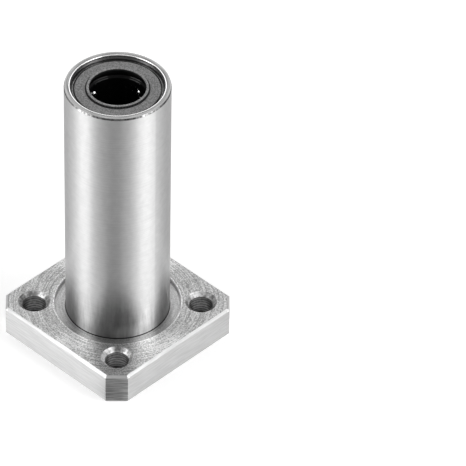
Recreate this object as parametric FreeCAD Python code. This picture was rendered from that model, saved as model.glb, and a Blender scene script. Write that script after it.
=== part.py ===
"""Square-flange linear ball bearing, long type, for an 8 mm shaft.

Row frame: millimetres, +Z along the bore from the flange's outer face (z = 0) to the free end
of the sleeve, flange sides parallel to X and Y. The flange is pressed on a seat turned on the
sleeve, up to a low shoulder. Inside the sleeve two ball retainers lie end to end with a spacer
ring between them, and a seal with its snap ring closes each end. Each retainer guides four
endless chains of balls.
"""
import FreeCAD, Part
import math
import os

from FreeCAD import Vector

# Shaft and sleeve
bore_d = 8.0
section_height = 3.5
sleeve_length = 45.0
end_chamfer_length = 0.3
end_chamfer_width = 0.1
bore_edge_chamfer = 0.05
seat_step = 0.2
seam_chamfer = 0.1

# Square flange, laid out from the sleeve outwards: the recess round the sleeve's foot, the land
# between recess and countersinks, the holes, and the metal from the holes' axes to the sides
flange_thickness = 5.0
flange_bevel = 0.36
recess_width = 1.55
recess_depth = 0.5
recess_edge_chamfer = 0.1
bolt_land = 0.65
bolt_hole_d = 3.4
countersink_d = 4.6
bolt_to_side = 4.0147
corner_cut = 1.58
deburr = 0.2

# Ball chains
ball_d = 1.588
turn_balls = 3
turn_gap = 0.035
circuits = 4

# Running clearances of the balls
raceway_play = 0.02
channel_play = 0.04
groove_play = 0.05
relief_play = 0.06

# Ends: each depth is measured from the end of the sleeve inwards
seal_face_depth = 0.6
seal_thickness = 1.2
seal_edge_gap = 0.64
seal_play = 0.02
lip_width = 0.37
lip_height = 0.36
lip_contact = 0.33
lip_round = 0.1
lip_groove_width = 0.18
lip_groove_depth = 0.1
lip_web = 0.55
lip_undercut = 0.9
snap_ring_depth = 0.7
snap_ring_thickness = 0.5
snap_ring_reach = 0.39
snap_ring_play = 0.05
snap_ring_opening = 14.0
snap_ring_opening_angle = -45.0

# Retainers and the spacer ring between them
shaft_clearance = 0.2
retainer_play = 0.1
retainer_rim_play = 0.05
retainer_rim_thickness = 0.5
retainer_end_wall = 0.68
retainer_chamfer = 0.3
spacer_length = 5.0
spacer_play = 0.06
raceway_overrun = 0.15
raceway_chamfer = 0.1

# How far a cutting shape runs past the face it cuts
overcut = 0.2

# Sleeve and shaft radii
bore_r = bore_d / 2
sleeve_r = bore_r + section_height
seat_r = sleeve_r - seat_step
ball_r = ball_d / 2

# Flange: bolt circle 24 mm and width 25 mm with the sizes above
recess_r = sleeve_r + recess_width
bolt_circle_r = recess_r + bolt_land + countersink_d / 2
flange_half = bolt_circle_r / math.sqrt(2) + bolt_to_side
recess_floor = flange_thickness - recess_depth

# One chain lies in a plane square to the radius: a load row against the shaft, a return row
# two turn radii to the side, and a half-round turn at each end with the balls evenly spaced
chord = ball_d + turn_gap
turn_r = chord / (2 * math.sin(math.pi / (2 * turn_balls)))
ball_pitch = math.pi * turn_r / turn_balls
load_r = bore_r + ball_r
return_r = math.hypot(load_r, 2 * turn_r)
raceway_r = load_r + ball_r + raceway_play
channel_r = ball_r + channel_play
groove_r = ball_r + groove_play
relief_r = return_r + ball_r + relief_play
ridge_half_angle = math.degrees(math.atan2(2 * turn_r, load_r) - math.asin(groove_r / return_r))

# Lengths along the bore
middle = sleeve_length / 2
seat_depth = seal_face_depth + seal_thickness
retainer_length = (sleeve_length - 2 * seat_depth - spacer_length) / 2
retainer_offset = (spacer_length + retainer_length) / 2
straight_room = retainer_length - 2 * (retainer_end_wall + turn_r + channel_r)
straight_balls = int(straight_room / ball_pitch)
straight_half = straight_balls * ball_pitch / 2
ridge_half = straight_half + raceway_overrun
snap_ring_top = sleeve_length - snap_ring_depth

# Radii of the pieces inside the sleeve
inner_r = bore_r + shaft_clearance
retainer_r = raceway_r - retainer_play
retainer_rim_r = relief_r - retainer_rim_play
seal_face_r = relief_r - seal_edge_gap
snap_groove_r = (relief_r + seat_r) / 2
snap_ring_outer_r = snap_groove_r - snap_ring_play
snap_ring_inner_r = relief_r - snap_ring_reach

UP = Vector(0, 0, 1)


def turned(points):
    """Solid of revolution about the bore axis from an outline of (radius, z) points."""
    corners = [Vector(r, 0, z) for r, z in points]
    outline = Part.makePolygon(corners + corners[:1])
    return Part.Face(outline).revolve(Vector(0, 0, 0), UP, 360)


def tube(outer_r, hole_r, low, high):
    """Plain tube between two heights."""
    return turned([(hole_r, low), (outer_r, low), (outer_r, high), (hole_r, high)])


def disc(radius, low, high, x=0.0, y=0.0):
    """Upright cylinder between two heights."""
    return Part.makeCylinder(radius, high - low, Vector(x, y, low), UP)


def turned_over(shape):
    """The same shape at the lower end of the sleeve, turned over about the X direction."""
    copy = shape.copy()
    copy.rotate(Vector(0, 0, middle), Vector(1, 0, 0), 180)
    return copy


def spun(shape, degrees):
    """The shape turned about the bore axis."""
    copy = shape.copy()
    copy.rotate(Vector(0, 0, 0), UP, degrees)
    return copy


def write(shape, name):
    """One STEP file per piece."""
    shape.exportStep(os.path.join("parts", name + ".step"))


def circuit_angles():
    """Directions of the load rows, square to the flange sides."""
    return [360.0 * number / circuits for number in range(circuits)]


def outer_sleeve():
    """Hardened sleeve with a raceway ridge for each chain, relieved between and beyond the ridges."""
    section = [
        (relief_r + bore_edge_chamfer, 0),
        (seat_r - end_chamfer_width, 0),
        (seat_r, end_chamfer_length),
        (seat_r, recess_floor),
        (sleeve_r - seam_chamfer, recess_floor),
        (sleeve_r, recess_floor + seam_chamfer),
        (sleeve_r, sleeve_length - end_chamfer_length),
        (sleeve_r - end_chamfer_width, sleeve_length),
        (relief_r + bore_edge_chamfer, sleeve_length),
        (relief_r, sleeve_length - bore_edge_chamfer)]
    for centre in (middle + retainer_offset, middle - retainer_offset):
        section += [
            (relief_r, centre + ridge_half),
            (raceway_r + raceway_chamfer, centre + ridge_half),
            (raceway_r, centre + ridge_half - raceway_chamfer),
            (raceway_r, centre - ridge_half + raceway_chamfer),
            (raceway_r + raceway_chamfer, centre - ridge_half),
            (relief_r, centre - ridge_half)]
    section.append((relief_r, bore_edge_chamfer))
    body = turned(section)
    lobe_angle = 360 / circuits - 2 * ridge_half_angle
    lobe = Part.makeCylinder(relief_r, 2 * ridge_half, Vector(0, 0, middle - ridge_half), UP, lobe_angle)
    for way in (-1, 1):
        for angle in circuit_angles():
            cutter = spun(lobe, angle + ridge_half_angle)
            cutter.translate(Vector(0, 0, way * retainer_offset))
            body = body.cut(cutter)
    snap_groove = tube(
        snap_groove_r, relief_r - overcut, snap_ring_top - snap_ring_thickness - snap_ring_play,
        snap_ring_top + snap_ring_play)
    return body.cut(snap_groove).cut(turned_over(snap_groove))


def square_flange():
    """Square plate with clipped corners, pressed on the sleeve, with a turned recess at its foot."""
    leg = flange_half - corner_cut * math.sqrt(2)
    corners = []
    for quarter in range(4):
        turn = FreeCAD.Rotation(UP, 90 * quarter)
        corners += [turn.multVec(Vector(flange_half, way * leg, 0)) for way in (-1, 1)]
    outline = Part.makePolygon(corners + corners[:1])
    plate = Part.Face(outline).extrude(Vector(0, 0, flange_thickness))
    level = [edge for edge in plate.Edges if abs(edge.tangentAt(edge.FirstParameter).z) < 0.5]
    plate = plate.makeChamfer(flange_bevel, level)

    above = flange_thickness + overcut
    hole = turned([
        (0, -overcut), (seat_r + seam_chamfer + overcut, -overcut), (seat_r, seam_chamfer),
        (seat_r, recess_floor), (recess_r, recess_floor),
        (recess_r, flange_thickness - recess_edge_chamfer),
        (recess_r + recess_edge_chamfer + overcut, above), (0, above)])
    plate = plate.cut(hole)

    hole_r = bolt_hole_d / 2
    sink = (countersink_d - bolt_hole_d) / 2
    drilled = turned([
        (0, -overcut), (hole_r + deburr + overcut, -overcut), (hole_r, deburr),
        (hole_r, flange_thickness - sink), (hole_r + sink + overcut, above), (0, above)])
    drilled.translate(Vector(bolt_circle_r, 0, 0))
    for quarter in range(4):
        plate = plate.cut(spun(drilled, 45 + 90 * quarter))
    return plate


def upper_seal():
    """Rubber end seal: a flat face with a raised lip that wipes the shaft, undercut so it bends."""
    face = sleeve_length - seal_face_depth
    back = face - seal_thickness
    lip_top = face + lip_height
    lip_side = lip_top - lip_round
    lip_r = bore_r + lip_width
    undercut_r = bore_r + lip_undercut
    lip_groove_r = lip_r + lip_groove_width
    groove_floor = face - lip_groove_depth
    shoulder = snap_ring_top - snap_ring_thickness
    base_r = relief_r - seal_play
    return turned([
        (bore_r, lip_side), (bore_r + lip_round, lip_top), (lip_r - lip_round, lip_top),
        (lip_r, lip_side), (lip_r, groove_floor), (lip_groove_r, groove_floor),
        (lip_groove_r, face), (seal_face_r, face), (seal_face_r, shoulder), (base_r, shoulder),
        (base_r, back), (undercut_r, back), (undercut_r, face - lip_web),
        (bore_r, lip_side - lip_contact)])


def upper_snap_ring():
    """Flat spring ring, open at one place, that holds the seal and the stack behind it."""
    low = snap_ring_top - snap_ring_thickness
    ring = tube(snap_ring_outer_r, snap_ring_inner_r, low, snap_ring_top)
    opening = Part.makeCylinder(
        sleeve_r, snap_ring_thickness + 2 * overcut, Vector(0, 0, low - overcut), UP, snap_ring_opening)
    return ring.cut(spun(opening, snap_ring_opening_angle - snap_ring_opening / 2))


def chain_channel(centre):
    """Endless round channel of one chain: two straights joined by two half turns."""
    low, high = centre - straight_half, centre + straight_half
    channel = disc(channel_r, low, high, load_r, 0).fuse(disc(channel_r, low, high, load_r, 2 * turn_r))
    for height, sweep in ((high, -180), (low, 180)):
        circle = Part.Circle(Vector(load_r, 0, height), UP, channel_r)
        end = Part.Face(Part.Wire(circle.toShape()))
        channel = channel.fuse(end.revolve(Vector(load_r, turn_r, height), Vector(1, 0, 0), sweep))
    return channel


def upper_retainer():
    """Moulded ball retainer: a tube with a channel for each chain and a rim at its outer end."""
    centre = middle + retainer_offset
    low, high = centre - retainer_length / 2, centre + retainer_length / 2
    rim_low = high - retainer_rim_thickness
    body = turned([
        (inner_r, low), (retainer_r, low), (retainer_r, rim_low), (retainer_rim_r, rim_low),
        (retainer_rim_r, high), (inner_r + retainer_chamfer, high),
        (inner_r, high - retainer_chamfer)])
    channel = chain_channel(centre)
    for angle in circuit_angles():
        body = body.cut(spun(channel, angle))
    return body


def spacer_ring():
    """Plain ring that keeps the two retainers apart."""
    half = spacer_length / 2
    return tube(raceway_r - spacer_play, inner_r, middle - half, middle + half)


def row_of_balls(side):
    """Balls of one straight row, side being its distance from the load row."""
    first = middle + retainer_offset - (straight_balls - 1) * ball_pitch / 2
    return [
        Part.makeSphere(ball_r, Vector(load_r, side, first + number * ball_pitch))
        for number in range(straight_balls)]


def turn_of_balls(way):
    """Balls of the half turn at the outer (way 1) or inner (way -1) end of the straights."""
    height = middle + retainer_offset + way * straight_half
    balls = []
    for number in range(turn_balls):
        angle = math.pi * (number + 0.5) / turn_balls
        side = turn_r * (1 - math.cos(angle))
        rise = way * turn_r * math.sin(angle)
        balls.append(Part.makeSphere(ball_r, Vector(load_r, side, height + rise)))
    return balls


os.makedirs("parts", exist_ok=True)
write(outer_sleeve(), "outer_sleeve")
write(square_flange(), "square_flange")
write(spacer_ring(), "spacer_ring")

end_pieces = {"seal": upper_seal(), "snap_ring": upper_snap_ring(), "retainer": upper_retainer()}
for name, piece in end_pieces.items():
    write(piece, name + "_upper")
    write(turned_over(piece), name + "_lower")

ball_groups = {
    "load_balls": row_of_balls(0),
    "return_balls": row_of_balls(2 * turn_r),
    "outer_turn_balls": turn_of_balls(1),
    "inner_turn_balls": turn_of_balls(-1)}
for number, angle in enumerate(circuit_angles(), start=1):
    for group, balls in ball_groups.items():
        row = Part.makeCompound([spun(ball, angle) for ball in balls])
        write(row, f"upper_circuit_{number}_{group}")
        write(turned_over(row), f"lower_circuit_{number}_{group}")
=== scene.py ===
"""Square-flange linear ball bearing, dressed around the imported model.

Metres, +Z along the bore from the flange's outer face, which stands on the floor.
"""

import math

import bmesh
import bpy
from mathutils import Matrix, Vector


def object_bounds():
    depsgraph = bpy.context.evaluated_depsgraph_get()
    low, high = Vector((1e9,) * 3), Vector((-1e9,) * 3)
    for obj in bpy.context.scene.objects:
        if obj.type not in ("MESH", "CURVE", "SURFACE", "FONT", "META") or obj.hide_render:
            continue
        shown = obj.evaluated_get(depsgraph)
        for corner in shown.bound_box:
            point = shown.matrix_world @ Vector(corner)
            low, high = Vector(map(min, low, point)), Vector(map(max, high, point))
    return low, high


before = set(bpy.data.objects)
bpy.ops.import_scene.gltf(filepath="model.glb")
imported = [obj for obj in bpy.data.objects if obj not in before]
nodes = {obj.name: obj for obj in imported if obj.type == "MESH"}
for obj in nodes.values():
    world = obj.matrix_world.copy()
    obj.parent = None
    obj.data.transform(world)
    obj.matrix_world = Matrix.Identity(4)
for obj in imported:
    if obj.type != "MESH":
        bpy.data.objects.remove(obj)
cad_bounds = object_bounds()


# Camera: a long lens that looks down on a corner of the flange, with the bearing left of the
# picture's middle. The figures are those of the fit that gave the size of the part.
scene = bpy.context.scene
camera_elevation = math.radians(40.72)
camera_azimuth = math.radians(45.45)
camera_distance = 0.6915
camera_target = Vector((0, 0, 0.01796))
picture_width_px = 466
focal_px = 4862
target_left_of_middle_px = 115.34


def way_to(azimuth, elevation):
    """Unit vector from the bearing towards an azimuth and an elevation."""
    level = math.cos(elevation)
    return Vector((math.sin(azimuth) * level, -math.cos(azimuth) * level, math.sin(elevation)))


def standing_off(target, way, distance):
    """Placement of a camera or a lamp that stands off its target along a way and faces it."""
    turn = (-way).to_track_quat("-Z", "Y").to_matrix().to_4x4()
    return Matrix.Translation(target + way * distance) @ turn


camera_data = bpy.data.cameras.new("camera")
camera_data.sensor_width = 36
camera_data.lens = camera_data.sensor_width * focal_px / picture_width_px
camera_data.clip_start = 0.01
camera = bpy.data.objects.new("camera", camera_data)
scene.collection.objects.link(camera)
aimed = standing_off(camera_target, way_to(camera_azimuth, camera_elevation), camera_distance)
turn_right = Matrix.Rotation(-math.atan(target_left_of_middle_px / focal_px), 4, "Y")
camera.matrix_world = aimed @ turn_right
scene.camera = camera
scene.view_settings.view_transform = "Standard"


# Floor: one wide sheet of white paper. It takes the soft shadow of the bearing, and it is
# lifted to white only where it is seen, directly or in the metal.
floor_half_width = 1.5
floor_gap = 0.00002
floor_colour = (0.9, 0.9, 0.9, 1)
floor_lift = 0.38


def sheet_object(name, sheet):
    """Object of a finished sheet, in the scene."""
    data = bpy.data.meshes.new(name)
    sheet.to_mesh(data)
    sheet.free()
    piece = bpy.data.objects.new(name, data)
    scene.collection.objects.link(piece)
    return piece


def new_material(name):
    """Empty node material with its tree and its output."""
    material = bpy.data.materials.new(name)
    material.use_nodes = True
    tree = material.node_tree
    tree.nodes.clear()
    return material, tree, tree.nodes.new("ShaderNodeOutputMaterial")


def node_of(tree, kind, *values, operation=None, **named_values):
    """One shader node. A value is a number or a colour to set, or an output to link."""
    node = tree.nodes.new(kind)
    if operation:
        node.operation = operation
    fed = list(zip(node.inputs, values))
    fed += [(node.inputs[name.replace("_", " ")], value) for name, value in named_values.items()]
    for socket, value in fed:
        if isinstance(value, bpy.types.NodeSocket):
            tree.links.new(value, socket)
        else:
            socket.default_value = value
    return node


def math_of(tree, operation, *values):
    """Result of a math node on numbers and outputs."""
    return node_of(tree, "ShaderNodeMath", *values, operation=operation).outputs[0]


def seen_rays(tree):
    """1 for the rays that look at the background: direct, reflected or refracted."""
    path = tree.nodes.new("ShaderNodeLightPath")
    seen = math_of(tree, "MAXIMUM", path.outputs["Is Camera Ray"], path.outputs["Is Glossy Ray"])
    return math_of(tree, "MAXIMUM", seen, path.outputs["Is Transmission Ray"])


floor_sheet = bmesh.new()
bmesh.ops.create_grid(floor_sheet, x_segments=1, y_segments=1, size=floor_half_width)
bmesh.ops.translate(floor_sheet, verts=floor_sheet.verts, vec=(0, 0, -floor_gap))
floor = sheet_object("floor", floor_sheet)

paper, tree, output = new_material("white_paper")
matt = node_of(tree, "ShaderNodeBsdfDiffuse", Color=floor_colour)
lift = node_of(
    tree, "ShaderNodeEmission", Strength=math_of(tree, "MULTIPLY", seen_rays(tree), floor_lift))
both = node_of(tree, "ShaderNodeAddShader", matt.outputs[0], lift.outputs[0])
tree.links.new(both.outputs[0], output.inputs["Surface"])
floor.data.materials.append(paper)


# Light: two tall softboxes at the sides draw the bright bands on the ground sleeve, with a wide
# soft one overhead and a dim even room. Small lamps pick out the rim, the flange's face and the
# bevels at both sides.
room_level = 0.3
lamp_target = Vector((0, 0, 0.022))

world = bpy.data.worlds.new("room")
world.use_nodes = True
world.node_tree.nodes["Background"].inputs["Color"].default_value = (1, 1, 1, 1)
world.node_tree.nodes["Background"].inputs["Strength"].default_value = room_level
scene.world = world


def softbox(name, azimuth, elevation, distance, width, height, power):
    """Area light at degrees round from the camera and up, facing the middle of the sleeve."""
    data = bpy.data.lights.new(name, "AREA")
    data.shape = "RECTANGLE"
    data.size = width
    data.size_y = height
    data.energy = power
    box = bpy.data.objects.new(name, data)
    scene.collection.objects.link(box)
    way = way_to(camera_azimuth + math.radians(azimuth), math.radians(elevation))
    box.matrix_world = standing_off(lamp_target, way, distance)
    box.visible_camera = False


softbox("softbox_left", -68, 26, distance=0.6, width=0.27, height=0.6, power=1.38)
softbox("softbox_right", 60, 26, distance=0.6, width=0.3, height=0.6, power=1.37)
softbox("softbox_top", 180, 58, distance=0.8, width=0.8, height=0.8, power=1.3)
softbox("rim_strip", 180, 41, distance=0.8, width=0.5, height=0.12, power=0.14)
softbox("face_light", 75, 60, distance=0.8, width=0.3, height=0.3, power=0.8)
softbox("edge_strip_left", -83, 33, distance=0.6, width=0.12, height=0.2, power=0.14)
softbox("edge_strip_right", 84, 33, distance=0.6, width=0.12, height=0.2, power=0.09)


# Grey card: a ring of paper laid round the flange for the metal alone, dark towards the lens,
# clear at both sides and grey behind. It draws the dark middle and the darker edges of the ground
# sleeve. Close to the flange it is clear but for a patch at the front corner.
card_inner, card_outer = 0.0163, 0.3
card_lift = 0.00005
card_colour = (0.05, 0.05, 0.05, 1)
card_turn = math.radians(-8.5)
close_end, card_start = 0.019, 0.024
patch_edge, patch_full, patch_level = 0.975, 0.993, 0.78
card_shades = (
    (0.0, 0.5), (0.2, 0.5), (0.42, 0.3), (0.56, 0.05), (0.64, 0.0), (0.8, 0.0), (0.9, 0.38),
    (1.0, 0.71))


def place_of(tree):
    """Place on the piece, in its own coordinates."""
    return tree.nodes.new("ShaderNodeTexCoord").outputs["Object"]


def ramp_of(tree, value, low, high, to_low=0.0, to_high=1.0):
    """The value taken from one range to another and held at its ends."""
    node = node_of(
        tree, "ShaderNodeMapRange", Value=value, From_Min=low, From_Max=high, To_Min=to_low,
        To_Max=to_high)
    return node.outputs["Result"]


card_sheet = bmesh.new()
bmesh.ops.create_circle(card_sheet, segments=64, radius=card_outer)
bmesh.ops.create_circle(card_sheet, segments=64, radius=card_inner)
bmesh.ops.bridge_loops(card_sheet, edges=card_sheet.edges[:])
bmesh.ops.translate(card_sheet, verts=card_sheet.verts, vec=(0, 0, card_lift))
card = sheet_object("grey_card", card_sheet)
card.visible_camera = card.visible_diffuse = card.visible_shadow = False

grey, tree, output = new_material("grey_card_paper")
place = place_of(tree)
outwards = node_of(tree, "ShaderNodeVectorMath", place, operation="NORMALIZE")
towards_lens = node_of(
    tree, "ShaderNodeVectorMath", outwards.outputs[0], way_to(camera_azimuth + card_turn, 0),
    operation="DOT_PRODUCT")
share = ramp_of(tree, towards_lens.outputs["Value"], -1, 1)
shades = node_of(tree, "ShaderNodeValToRGB", share)
while len(shades.color_ramp.elements) < len(card_shades):
    shades.color_ramp.elements.new(0.5)
for element, (position, level) in zip(shades.color_ramp.elements, card_shades):
    element.position = position
    element.color = (level, level, level, 1)
reach = node_of(tree, "ShaderNodeVectorMath", place, operation="LENGTH").outputs["Value"]
opacity = node_of(
    tree, "ShaderNodeMix", Factor=ramp_of(tree, reach, close_end, card_start),
    A=ramp_of(tree, share, patch_edge, patch_full, 0.0, patch_level), B=shades.outputs["Color"])
clear = tree.nodes.new("ShaderNodeBsdfTransparent")
matt = node_of(tree, "ShaderNodeBsdfDiffuse", Color=card_colour)
mix = node_of(
    tree, "ShaderNodeMixShader", opacity.outputs["Result"], clear.outputs[0], matt.outputs[0])
tree.links.new(mix.outputs[0], output.inputs["Surface"])
card.data.materials.append(grey)


# Sleeve: hardened bearing steel, ground all over outside, so the marks run round it. The ends
# are turned. Towards the flange it is darker with painted shade, which stands in for the shade at
# its foot and the flange's reflection in it, most of all in front and at the sides, with a
# painted lighter patch low in front.
sleeve_length, sleeve_r = cad_bounds[1][2], 0.0075
front_way = Vector((1, -1, 0)).normalized()
right_way = Vector((1, 1, 0)).normalized()
noise_low, noise_high = 0.3, 0.7

# A span is where a ramp starts and ends, and its shades are what it gives there. Round the bore
# a span or band is a share: 1 in front, 0 at the sides. Otherwise it is in metres or in noise.
ground_pitch, turned_pitch = 0.00014, 0.00012
marks_low, marks_high, ground_shades = 0.22, 0.78, (0.68, 0.765)
mottle_shades, blotch_shades, blotch_scale = (0.955, 1.045), (0.86, 1.14), (3000, 3000, 500)
ground_roughness, rim_roughness = 0.36, 0.22
foot_dark_start, foot_dark_full = 0.0145, 0.006
foot_rise, foot_rise_band = 0.0022, (0.94, 0.99)
foot_shades, foot_front_span = (0.6, 0.4), (0.3, 0.8)
beside_front_band, beside_front_soft = (0.64, 0.9), 0.08
beside_shades, beside_span = (0.8, 0.95), (-0.4, 0.4)
foot_patch_top, foot_patch_full, foot_patch_level = 0.0072, 0.0056, 1.6
foot_patch_front_span, foot_patch_band, foot_patch_soft = (0.5, 0.75), (-0.07, 0.47), 0.09
rim_arc_pitch, rim_arc_shades, rim_level = 0.00013, (-0.3, 0.3), 0.42
rim_shades, rim_span = (0.6, 1.05), (0.0069, 0.00732)
rim_side_shades, rim_side_span = (0.76, 1.0), (0.1, 0.7)
end_chamfer_height, end_chamfer_width, chamfer_soft = 0.0003, 0.00009, 0.00001
chamfer_shades, nick_shades, nick_span = (0.28, 0.9), (0.6, 2.0), (0.4, 0.62)
inner_edge_band = (0.00664, 0.0068)
bore_wall_r, bore_shade_level = 0.00665, 0.7
seat_r, seam_band, seam_level = 0.0073, (0.0044, 0.00462), 0.06


def times(tree, first, *others):
    """Product of numbers and outputs."""
    for value in others:
        first = math_of(tree, "MULTIPLY", first, value)
    return first


def plus(tree, first, *others):
    """Sum of numbers and outputs."""
    for value in others:
        first = math_of(tree, "ADD", first, value)
    return first


def blend(tree, mask, inside, outside):
    """One value where the mask is 1 and the other where it is 0."""
    rest = math_of(tree, "SUBTRACT", 1.0, mask)
    return plus(tree, times(tree, mask, inside), times(tree, rest, outside))


def over(tree, value, limit, soft=0.00002):
    """1 above a limit, 0 below it, with a soft step."""
    return ramp_of(tree, value, limit - soft, limit + soft)


def under(tree, value, limit, soft=0.00002):
    """1 below a limit, 0 above it, with a soft step."""
    return ramp_of(tree, value, limit - soft, limit + soft, 1.0, 0.0)


def within(tree, value, low, high, soft=0.00002):
    """1 between two limits, 0 outside, with soft steps."""
    return times(tree, over(tree, value, low, soft), under(tree, value, high, soft))


def shaded(tree, shade, mask, level):
    """The shade times a level where the mask is 1."""
    return times(tree, shade, ramp_of(tree, mask, 0.0, 1.0, 1.0, level))


def spread(tree, noise, to_low, to_high):
    """The usual span of a noise taken to a range."""
    return ramp_of(tree, noise, noise_low, noise_high, to_low, to_high)


def parts_of(tree, vector):
    """The three parts of a vector."""
    return node_of(tree, "ShaderNodeSeparateXYZ", vector).outputs


def reach_of(tree, a, b):
    """Distance over two legs that stand square to each other."""
    return math_of(tree, "SQRT", plus(tree, times(tree, a, a), times(tree, b, b)))


def share_of(tree, place, radius, way):
    """How far a place lies towards a way from the bore: 1 straight there, -1 straight away."""
    along = node_of(tree, "ShaderNodeVectorMath", place, way, operation="DOT_PRODUCT")
    return math_of(tree, "DIVIDE", along.outputs["Value"], radius)


def end_depth(tree, z):
    """Depth below the nearer end of the sleeve, so that both ends get the same finish."""
    half = sleeve_length / 2
    return math_of(tree, "SUBTRACT", half, math_of(
        tree, "ABSOLUTE", math_of(tree, "SUBTRACT", z, half)))


def flatness_of(tree):
    """1 on faces square to the bore, 0 on walls along it."""
    normal = tree.nodes.new("ShaderNodeNewGeometry").outputs["Normal"]
    return math_of(tree, "ABSOLUTE", parts_of(tree, normal)[2])


def across_rings(tree, place):
    """Direction on the surface that crosses the marks running round the bore."""
    normal = tree.nodes.new("ShaderNodeNewGeometry").outputs["Normal"]
    along = node_of(tree, "ShaderNodeVectorMath", (0, 0, 1), place, operation="CROSS_PRODUCT")
    across = node_of(
        tree, "ShaderNodeVectorMath", normal, along.outputs[0], operation="CROSS_PRODUCT")
    return across.outputs[0]


def marks_along(tree, value, pitch, detail):
    """Uneven fine marks, one after another along a length, 0 to 1."""
    noise = tree.nodes.new("ShaderNodeTexNoise")
    noise.noise_dimensions = "1D"
    noise.inputs["Scale"].default_value = 1 / pitch
    noise.inputs["Detail"].default_value = detail
    tree.links.new(value, noise.inputs["W"])
    return noise.outputs["Fac"]


def noise_of(tree, spot, scale, detail):
    """Uneven spots, 0 to 1. The scale is one number, or three for a pattern drawn out long."""
    if isinstance(scale, tuple):
        spot = node_of(tree, "ShaderNodeVectorMath", spot, scale, operation="MULTIPLY").outputs[0]
        scale = 1
    noise = node_of(tree, "ShaderNodeTexNoise", Vector=spot, Scale=scale, Detail=detail)
    return noise.outputs["Fac"]


def ring_spot(tree, a, b, radius, turns, third):
    """Place for a noise that runs round an axis, from the two legs off it and their radius."""
    round_a = times(tree, math_of(tree, "DIVIDE", a, radius), turns)
    round_b = times(tree, math_of(tree, "DIVIDE", b, radius), turns)
    return node_of(tree, "ShaderNodeCombineXYZ", round_a, round_b, third).outputs[0]


def arcs_round(tree, x, y, radius, pitch, turns, detail):
    """Uneven fine arcs round the bore, one pitch apart and a part of a turn long, 0 to 1."""
    spot = ring_spot(tree, x, y, radius, turns, math_of(tree, "DIVIDE", radius, pitch))
    return noise_of(tree, spot, 1, detail)


def grey_of(tree, value):
    """A grey colour from a number."""
    return node_of(tree, "ShaderNodeCombineColor", value, value, value).outputs[0]


def relief_of(tree, height, depth, strength):
    """Normal of a relief of that depth in metres."""
    bump = node_of(tree, "ShaderNodeBump", Height=height, Distance=depth, Strength=strength)
    return bump.outputs[0]


ground, tree, output = new_material("ground_sleeve_steel")
place = place_of(tree)
x, y, z = parts_of(tree, place)
radius = reach_of(tree, x, y)
front = share_of(tree, place, radius, front_way)
to_right = share_of(tree, place, radius, right_way)
beside_front = within(tree, front, *beside_front_band, beside_front_soft)
marks = blend(
    tree, flatness_of(tree), marks_along(tree, radius, turned_pitch, detail=2),
    marks_along(tree, z, ground_pitch, detail=3))
mottle = noise_of(tree, place, scale=1100, detail=5)
blotches = noise_of(tree, place, scale=blotch_scale, detail=4)
shade = ramp_of(tree, marks, marks_low, marks_high, *ground_shades)
shade = times(tree, shade, spread(tree, mottle, *mottle_shades))

# Painted shade at the foot: darkest in front and dark at the sides, with a brighter band on either
# side of the front, broken up by blotches. The dark reaches up a little higher in front.
foot_height = math_of(tree, "SUBTRACT", z, ramp_of(tree, front, *foot_rise_band, 0.0, foot_rise))
fade = node_of(
    tree, "ShaderNodeMapRange", Value=foot_height, From_Min=foot_dark_start, From_Max=foot_dark_full)
fade.interpolation_type = "SMOOTHSTEP"
painted_foot_shade = blend(
    tree, beside_front, ramp_of(tree, to_right, *beside_span, *beside_shades),
    ramp_of(tree, front, *foot_front_span, *foot_shades))
painted_foot_shade = times(tree, painted_foot_shade, spread(tree, blotches, *blotch_shades))
shade = shaded(tree, shade, fade.outputs["Result"], painted_foot_shade)
# Painted light: a lighter patch low in front, a little to the right.
foot_light_patch = times(
    tree, ramp_of(tree, z, foot_patch_top, foot_patch_full), ramp_of(tree, front, *foot_patch_front_span),
    within(tree, to_right, *foot_patch_band, foot_patch_soft))
shade = shaded(tree, shade, foot_light_patch, foot_patch_level)

# The rim shows the arcs of its turning and is shaded darker towards the bore, with painted shade
# at both sides. Its outer chamfer is nicked and darkened with painted shade, a painted highlight
# runs round its inner edge, and painted shade darkens the bore's wall above the seal.
# The press fit leaves a black seam where the flange's recess meets the sleeve.
at_end = under(tree, end_depth(tree, z), end_chamfer_height)
rim_arcs = arcs_round(tree, x, y, radius, rim_arc_pitch, turns=2.5, detail=3)
rim_shade = plus(
    tree, ramp_of(tree, radius, *rim_span, *rim_shades), spread(tree, rim_arcs, *rim_arc_shades))
# Painted shade on the rim at both sides, lighter in front and behind.
front_or_back = math_of(tree, "ABSOLUTE", front)
rim_shade = times(
    tree, rim_shade, ramp_of(tree, front_or_back, *rim_side_span, *rim_side_shades), rim_level)
shade = blend(tree, at_end, rim_shade, shade)
# Painted shade on the outer chamfer, lighter beside the front, broken up by nicks.
chamfer_inner_r = sleeve_r - end_chamfer_width
outer_chamfer = times(tree, at_end, over(tree, radius, chamfer_inner_r, chamfer_soft))
chamfer_shade_and_nicks = times(
    tree, ramp_of(tree, beside_front, 0.0, 1.0, *chamfer_shades),
    ramp_of(tree, blotches, *nick_span, *nick_shades))
shade = shaded(tree, shade, outer_chamfer, chamfer_shade_and_nicks)
# Painted highlight round the rim's inner edge.
inner_edge_highlight = times(tree, at_end, within(tree, radius, *inner_edge_band))
shade = math_of(tree, "MINIMUM", math_of(tree, "MAXIMUM", shade, inner_edge_highlight), 1.0)
# Painted shade on the bore's wall above the seal.
shade = shaded(tree, shade, under(tree, radius, bore_wall_r), bore_shade_level)
seam = times(tree, within(tree, z, *seam_band), over(tree, radius, seat_r))
shade = shaded(tree, shade, seam, seam_level)

steel = node_of(
    tree, "ShaderNodeBsdfPrincipled", Metallic=1, Anisotropic=0.9, Base_Color=grey_of(tree, shade),
    Roughness=ramp_of(tree, at_end, 0.0, 1.0, ground_roughness, rim_roughness),
    Tangent=across_rings(tree, place), Normal=relief_of(tree, marks, depth=0.000002, strength=0.5))
tree.links.new(steel.outputs[0], output.inputs["Surface"])
nodes["outer_sleeve"].material_slots[0].material = ground
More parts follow.
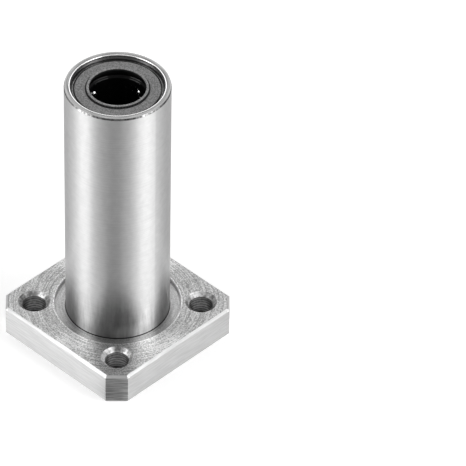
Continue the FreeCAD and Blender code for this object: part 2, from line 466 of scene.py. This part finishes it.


# Flange: mild steel plate, pressed on the sleeve. Its face and recess are turned about the bore,
# with a painted sheen in fans in front and behind, its sides are milled along their length, its
# corners are cut off and drawn darker, and its bevels carry painted highlights.
flange_half = cad_bounds[1][0]
face_flatness, slope_flatness, wall_flatness = 0.9, (0.5, 0.85), 0.5
hole_circle_r, hole_wall_r, cone_r, cone_soft = 0.012, 0.00172, 0.0024, 0.00005
corner_cut, corner_slack, corner_bevel_width = 0.00158, 0.00005, 0.0003
arc_pitch, ring_pitch, mill_scale = 0.00017, 0.0003, (350, 350, 7000)
arc_share, ring_share, grain_share = 0.28, 0.15, 0.57
recess_face_top, recess_relief, recess_shade_level, recess_gloss = 0.0046, 0.5, 0.85, 0.9
recess_wall_band, recess_wall_foot, recess_wall_light_level = (0.0088, 0.00907), (0.00449, 0.0045), 1.5
recess_edge_band, recess_edge_low, recess_edge_highlight_level = (0.00904, 0.00932), 0.00486, 1.8
highlight_dash_shades, highlight_dash_span = (0.15, 1.0), (0.38, 0.56)
face_shades, face_span, side_shades = (0.3, 0.79), (0.41, 0.59), (0.62, 0.74)
plate_roughness, plate_gloss_span = (0.5, 0.38), (0.36, 0.62)
x_side_slack, x_side_shade_level = 0.00002, 0.85
fan_span, sheen_fan_level = (0.5, 0.7), 1.15
fan_middle_band, fan_middle_soft, sheen_fan_middle_level = (0.68, 0.88), 0.05, 1.36
chatter_turns, chatter_rise, chatter_span, cone_shades = 4, 2500, (0.38, 0.62), (0.5, 1.2)
drill_pitch, drill_share, wall_span, wall_shades = 0.00045, 0.25, (0.25, 0.75), (0.35, 0.95)
deep_start, deep_full, deep_shade_level = 0.0028, 0.0015, 0.1
corner_span, corner_shades = (0.4, 0.6), (0.66, 1.06)
bevel_highlight_level, corner_bevel_highlight_level = 1.1, 1.6
flange_seam_band, flange_seam_level = (0.0072, 0.00758), 0.1

milled, tree, output = new_material("turned_flange_steel")
place = place_of(tree)
x, y, z = parts_of(tree, place)
radius = reach_of(tree, x, y)
flatness = flatness_of(tree)
on_face = math_of(tree, "GREATER_THAN", flatness, face_flatness)
off_face = math_of(tree, "SUBTRACT", 1.0, on_face)
slanting = within(tree, flatness, *slope_flatness)
in_recess = times(tree, on_face, under(tree, z, recess_face_top))
far_x, far_y = math_of(tree, "ABSOLUTE", x), math_of(tree, "ABSOLUTE", y)
corner_reach = plus(tree, far_x, far_y)
corner_plane = 2 * flange_half - corner_cut * math.sqrt(2)
hole_place = hole_circle_r * math.sqrt(0.5)
from_x = math_of(tree, "SUBTRACT", far_x, hole_place)
from_y = math_of(tree, "SUBTRACT", far_y, hole_place)
from_hole = reach_of(tree, from_x, from_y)

# Turned faces carry arcs, rings and a fine grain, flatter in the recess. The sides carry the
# long marks of the mill, and the two that face along X are darker with painted shade.
arcs = arcs_round(tree, x, y, radius, arc_pitch, turns=3, detail=2)
rings = marks_along(tree, radius, ring_pitch, detail=3)
grain = noise_of(tree, place, scale=7700, detail=2)
turned = plus(
    tree, times(tree, arcs, arc_share), times(tree, rings, ring_share),
    times(tree, grain, grain_share))
off_mean = math_of(tree, "SUBTRACT", turned, 0.5)
turned = plus(tree, shaded(tree, off_mean, in_recess, recess_relief), 0.5)
mill_marks = noise_of(tree, place, scale=mill_scale, detail=3)
relief = blend(tree, on_face, turned, mill_marks)
x_sides = math_of(tree, "GREATER_THAN", far_x, flange_half - x_side_slack)
side_shade = shaded(tree, spread(tree, relief, *side_shades), x_sides, x_side_shade_level)
shade = blend(tree, on_face, ramp_of(tree, relief, *face_span, *face_shades), side_shade)
# Painted sheen: the land is brighter in fans in front of the bore and behind it.
front_or_back = math_of(tree, "ABSOLUTE", share_of(tree, place, radius, front_way))
on_land = math_of(tree, "SUBTRACT", on_face, in_recess)
sheen_fans = times(tree, on_land, ramp_of(tree, front_or_back, *fan_span))
shade = shaded(tree, shade, sheen_fans, sheen_fan_level)
sheen_fan_middles = within(tree, front_or_back, *fan_middle_band, fan_middle_soft)
shade = shaded(tree, shade, times(tree, on_land, sheen_fan_middles), sheen_fan_middle_level)

# Countersinks chatter as they are cut, and the drill leaves rings down the wall of the hole.
hole_spot = ring_spot(
    tree, from_x, from_y, from_hole, chatter_turns, times(tree, z, chatter_rise))
chatter = noise_of(tree, hole_spot, scale=1, detail=2)
on_cone = times(tree, off_face, within(tree, from_hole, hole_wall_r, cone_r))
shade = shaded(tree, shade, on_cone, ramp_of(tree, chatter, *chatter_span, *cone_shades))
in_hole = math_of(tree, "LESS_THAN", from_hole, hole_wall_r)
drill_rings = math_of(tree, "SINE", times(tree, z, 2 * math.pi / drill_pitch))
wall_marks = plus(tree, times(tree, drill_rings, drill_share), chatter)
shade = shaded(tree, shade, in_hole, ramp_of(tree, wall_marks, *wall_span, *wall_shades))
# Painted shade deep down in the holes.
deep_shade = times(tree, in_hole, ramp_of(tree, z, deep_start, deep_full))
shade = shaded(tree, shade, deep_shade, deep_shade_level)

# The cut corners are drawn darker with the marks of their cutting, and the bevels and the recess's
# edge carry painted highlights.
on_corner = times(
    tree, math_of(tree, "GREATER_THAN", corner_reach, corner_plane - corner_slack),
    math_of(tree, "LESS_THAN", flatness, wall_flatness))
shade = shaded(tree, shade, on_corner, ramp_of(tree, mill_marks, *corner_span, *corner_shades))
# Painted highlights on the bevels, brighter at the cut corners.
off_cones = ramp_of(tree, from_hole, cone_r, cone_r + cone_soft)
shade = shaded(tree, shade, times(tree, slanting, off_cones), bevel_highlight_level)
bevel_start = corner_plane - corner_bevel_width * math.sqrt(2)
corner_bevel_highlights = times(tree, math_of(tree, "GREATER_THAN", corner_reach, bevel_start), slanting)
shade = shaded(tree, shade, corner_bevel_highlights, corner_bevel_highlight_level)
# Painted highlight along the recess's edge, broken into dashes.
recess_edge_highlight = times(
    tree, within(tree, radius, *recess_edge_band), over(tree, z, recess_edge_low),
    ramp_of(tree, grain, *highlight_dash_span, *highlight_dash_shades))
shade = shaded(tree, shade, recess_edge_highlight, recess_edge_highlight_level)
# Painted shade in the recess.
shade = shaded(tree, shade, in_recess, recess_shade_level)
# Painted light on the recess's wall, where it lies in shade.
recess_wall = times(
    tree, off_face, within(tree, radius, *recess_wall_band), ramp_of(tree, z, *recess_wall_foot))
shade = shaded(tree, shade, recess_wall, recess_wall_light_level)
shade = shaded(tree, shade, within(tree, radius, *flange_seam_band), flange_seam_level)

roughness = ramp_of(tree, relief, *plate_gloss_span, *plate_roughness)
steel = node_of(
    tree, "ShaderNodeBsdfPrincipled", Metallic=1, Anisotropic=0.8,
    Base_Color=grey_of(tree, math_of(tree, "MINIMUM", shade, 1.0)),
    Roughness=shaded(tree, roughness, in_recess, recess_gloss),
    Tangent=across_rings(tree, place), Normal=relief_of(tree, relief, depth=0.00001, strength=0.7))
tree.links.new(steel.outputs[0], output.inputs["Surface"])
nodes["square_flange"].material_slots[0].material = milled


# Seals: moulded rubber, one at each end, with a raised lip round the shaft hole. The lip's top
# carries a painted highlight, and the narrow groove round it, the undercut behind it and the
# lip's bore are darkened almost to black with painted shade.
rubber_shades, rubber_span = (0.115, 0.285), (0.38, 0.62)
lip_wall_soft, lip_top_soft = 0.00001, 0.00003
lip_band, lip_depth, lip_highlight_level = (0.00395, 0.00436), 0.00037, 1.25
groove_band, groove_depth, groove_shade_level = (0.00436, 0.00456), 0.000325, 0.03
undercut_r, undercut_depth, undercut_shade_level = 0.005, 0.00074, 0.01
lip_bore_r, lip_bore_depth, lip_bore_shade_level = 0.00404, 0.00039, 0.05

rubber, tree, output = new_material("seal_rubber_grey")
place = place_of(tree)
x, y, z = parts_of(tree, place)
radius = reach_of(tree, x, y)
depth = end_depth(tree, z)
grain = noise_of(tree, place, scale=5600, detail=3)
shade = ramp_of(tree, grain, *rubber_span, *rubber_shades)
# Painted highlight on the lip's top.
lip_top_highlight = times(
    tree, within(tree, radius, *lip_band, lip_wall_soft),
    under(tree, depth, lip_depth, lip_top_soft))
shade = shaded(tree, shade, lip_top_highlight, lip_highlight_level)
# Painted shade in the groove, in the undercut and on the lip's bore.
groove_shade = times(
    tree, within(tree, radius, *groove_band, lip_wall_soft),
    over(tree, depth, groove_depth, lip_top_soft))
shade = shaded(tree, shade, groove_shade, groove_shade_level)
undercut_shade = times(tree, under(tree, radius, undercut_r), over(tree, depth, undercut_depth))
shade = shaded(tree, shade, undercut_shade, undercut_shade_level)
lip_bore_shade = times(
    tree, under(tree, radius, lip_bore_r), over(tree, depth, lip_bore_depth, lip_top_soft))
shade = shaded(tree, shade, lip_bore_shade, lip_bore_shade_level)
skin = node_of(
    tree, "ShaderNodeBsdfPrincipled", Roughness=0.55, Base_Color=grey_of(tree, shade),
    Normal=relief_of(tree, grain, depth=0.00001, strength=0.5))
tree.links.new(skin.outputs[0], output.inputs["Surface"])
for end in ("upper", "lower"):
    nodes["seal_" + end].material_slots[0].material = rubber


# Balls: polished chrome steel, 160 of them in eight chains. Only a faint film of oil breaks
# their shine.
ball_shades, ball_roughness = (0.64, 0.74), (0.11, 0.06)

chrome, tree, output = new_material("polished_ball_steel")
film = noise_of(tree, place_of(tree), scale=1500, detail=2)
steel = node_of(
    tree, "ShaderNodeBsdfPrincipled", Metallic=1,
    Base_Color=grey_of(tree, spread(tree, film, *ball_shades)),
    Roughness=spread(tree, film, *ball_roughness))
tree.links.new(steel.outputs[0], output.inputs["Surface"])
for name, node in nodes.items():
    if name.endswith("_balls"):
        node.material_slots[0].material = chrome


# Retainers and spacer: black moulded plastic with a slightly uneven gloss, dull in the middle of
# the chamfer at the mouth of the bore, which the mould leaves matt.
plastic_shades, plastic_roughness = (0.002, 0.005), (0.03, 0.08)
mouth_depth_band, mouth_band, mouth_roughness = (0.00189, 0.002), (0.0042, 0.0045), 0.7

plastic, tree, output = new_material("black_retainer_plastic")
place = place_of(tree)
x, y, z = parts_of(tree, place)
uneven = noise_of(tree, place, scale=900, detail=3)
mouth = times(
    tree, within(tree, end_depth(tree, z), *mouth_depth_band),
    within(tree, reach_of(tree, x, y), *mouth_band))
gloss = math_of(
    tree, "MAXIMUM", times(tree, mouth, mouth_roughness),
    spread(tree, uneven, *plastic_roughness))
skin = node_of(
    tree, "ShaderNodeBsdfPrincipled", Specular_IOR_Level=0.17, Roughness=gloss,
    Base_Color=grey_of(tree, spread(tree, uneven, *plastic_shades)))
tree.links.new(skin.outputs[0], output.inputs["Surface"])
for name in ("retainer_upper", "retainer_lower", "spacer_ring"):
    nodes[name].material_slots[0].material = plastic


# Snap rings: spring steel, blackened with oil, with a painted highlight round the inner edge.
# They sit in grooves of the sleeve and hold the seals in.
spring_shades = (0.03, 0.09)
spring_edge_band, spring_edge_highlight_level = (0.0062, 0.00632), 4.0

spring, tree, output = new_material("blackened_snap_ring_steel")
place = place_of(tree)
x, y, z = parts_of(tree, place)
shade = spread(tree, noise_of(tree, place, scale=2500, detail=3), *spring_shades)
# Painted highlight round the inner edge.
inner_edge_highlight = within(tree, reach_of(tree, x, y), *spring_edge_band)
shade = shaded(tree, shade, inner_edge_highlight, spring_edge_highlight_level)
steel = node_of(
    tree, "ShaderNodeBsdfPrincipled", Metallic=1, Roughness=0.35, Base_Color=grey_of(tree, shade))
tree.links.new(steel.outputs[0], output.inputs["Surface"])
for end in ("upper", "lower"):
    nodes["snap_ring_" + end].material_slots[0].material = spring
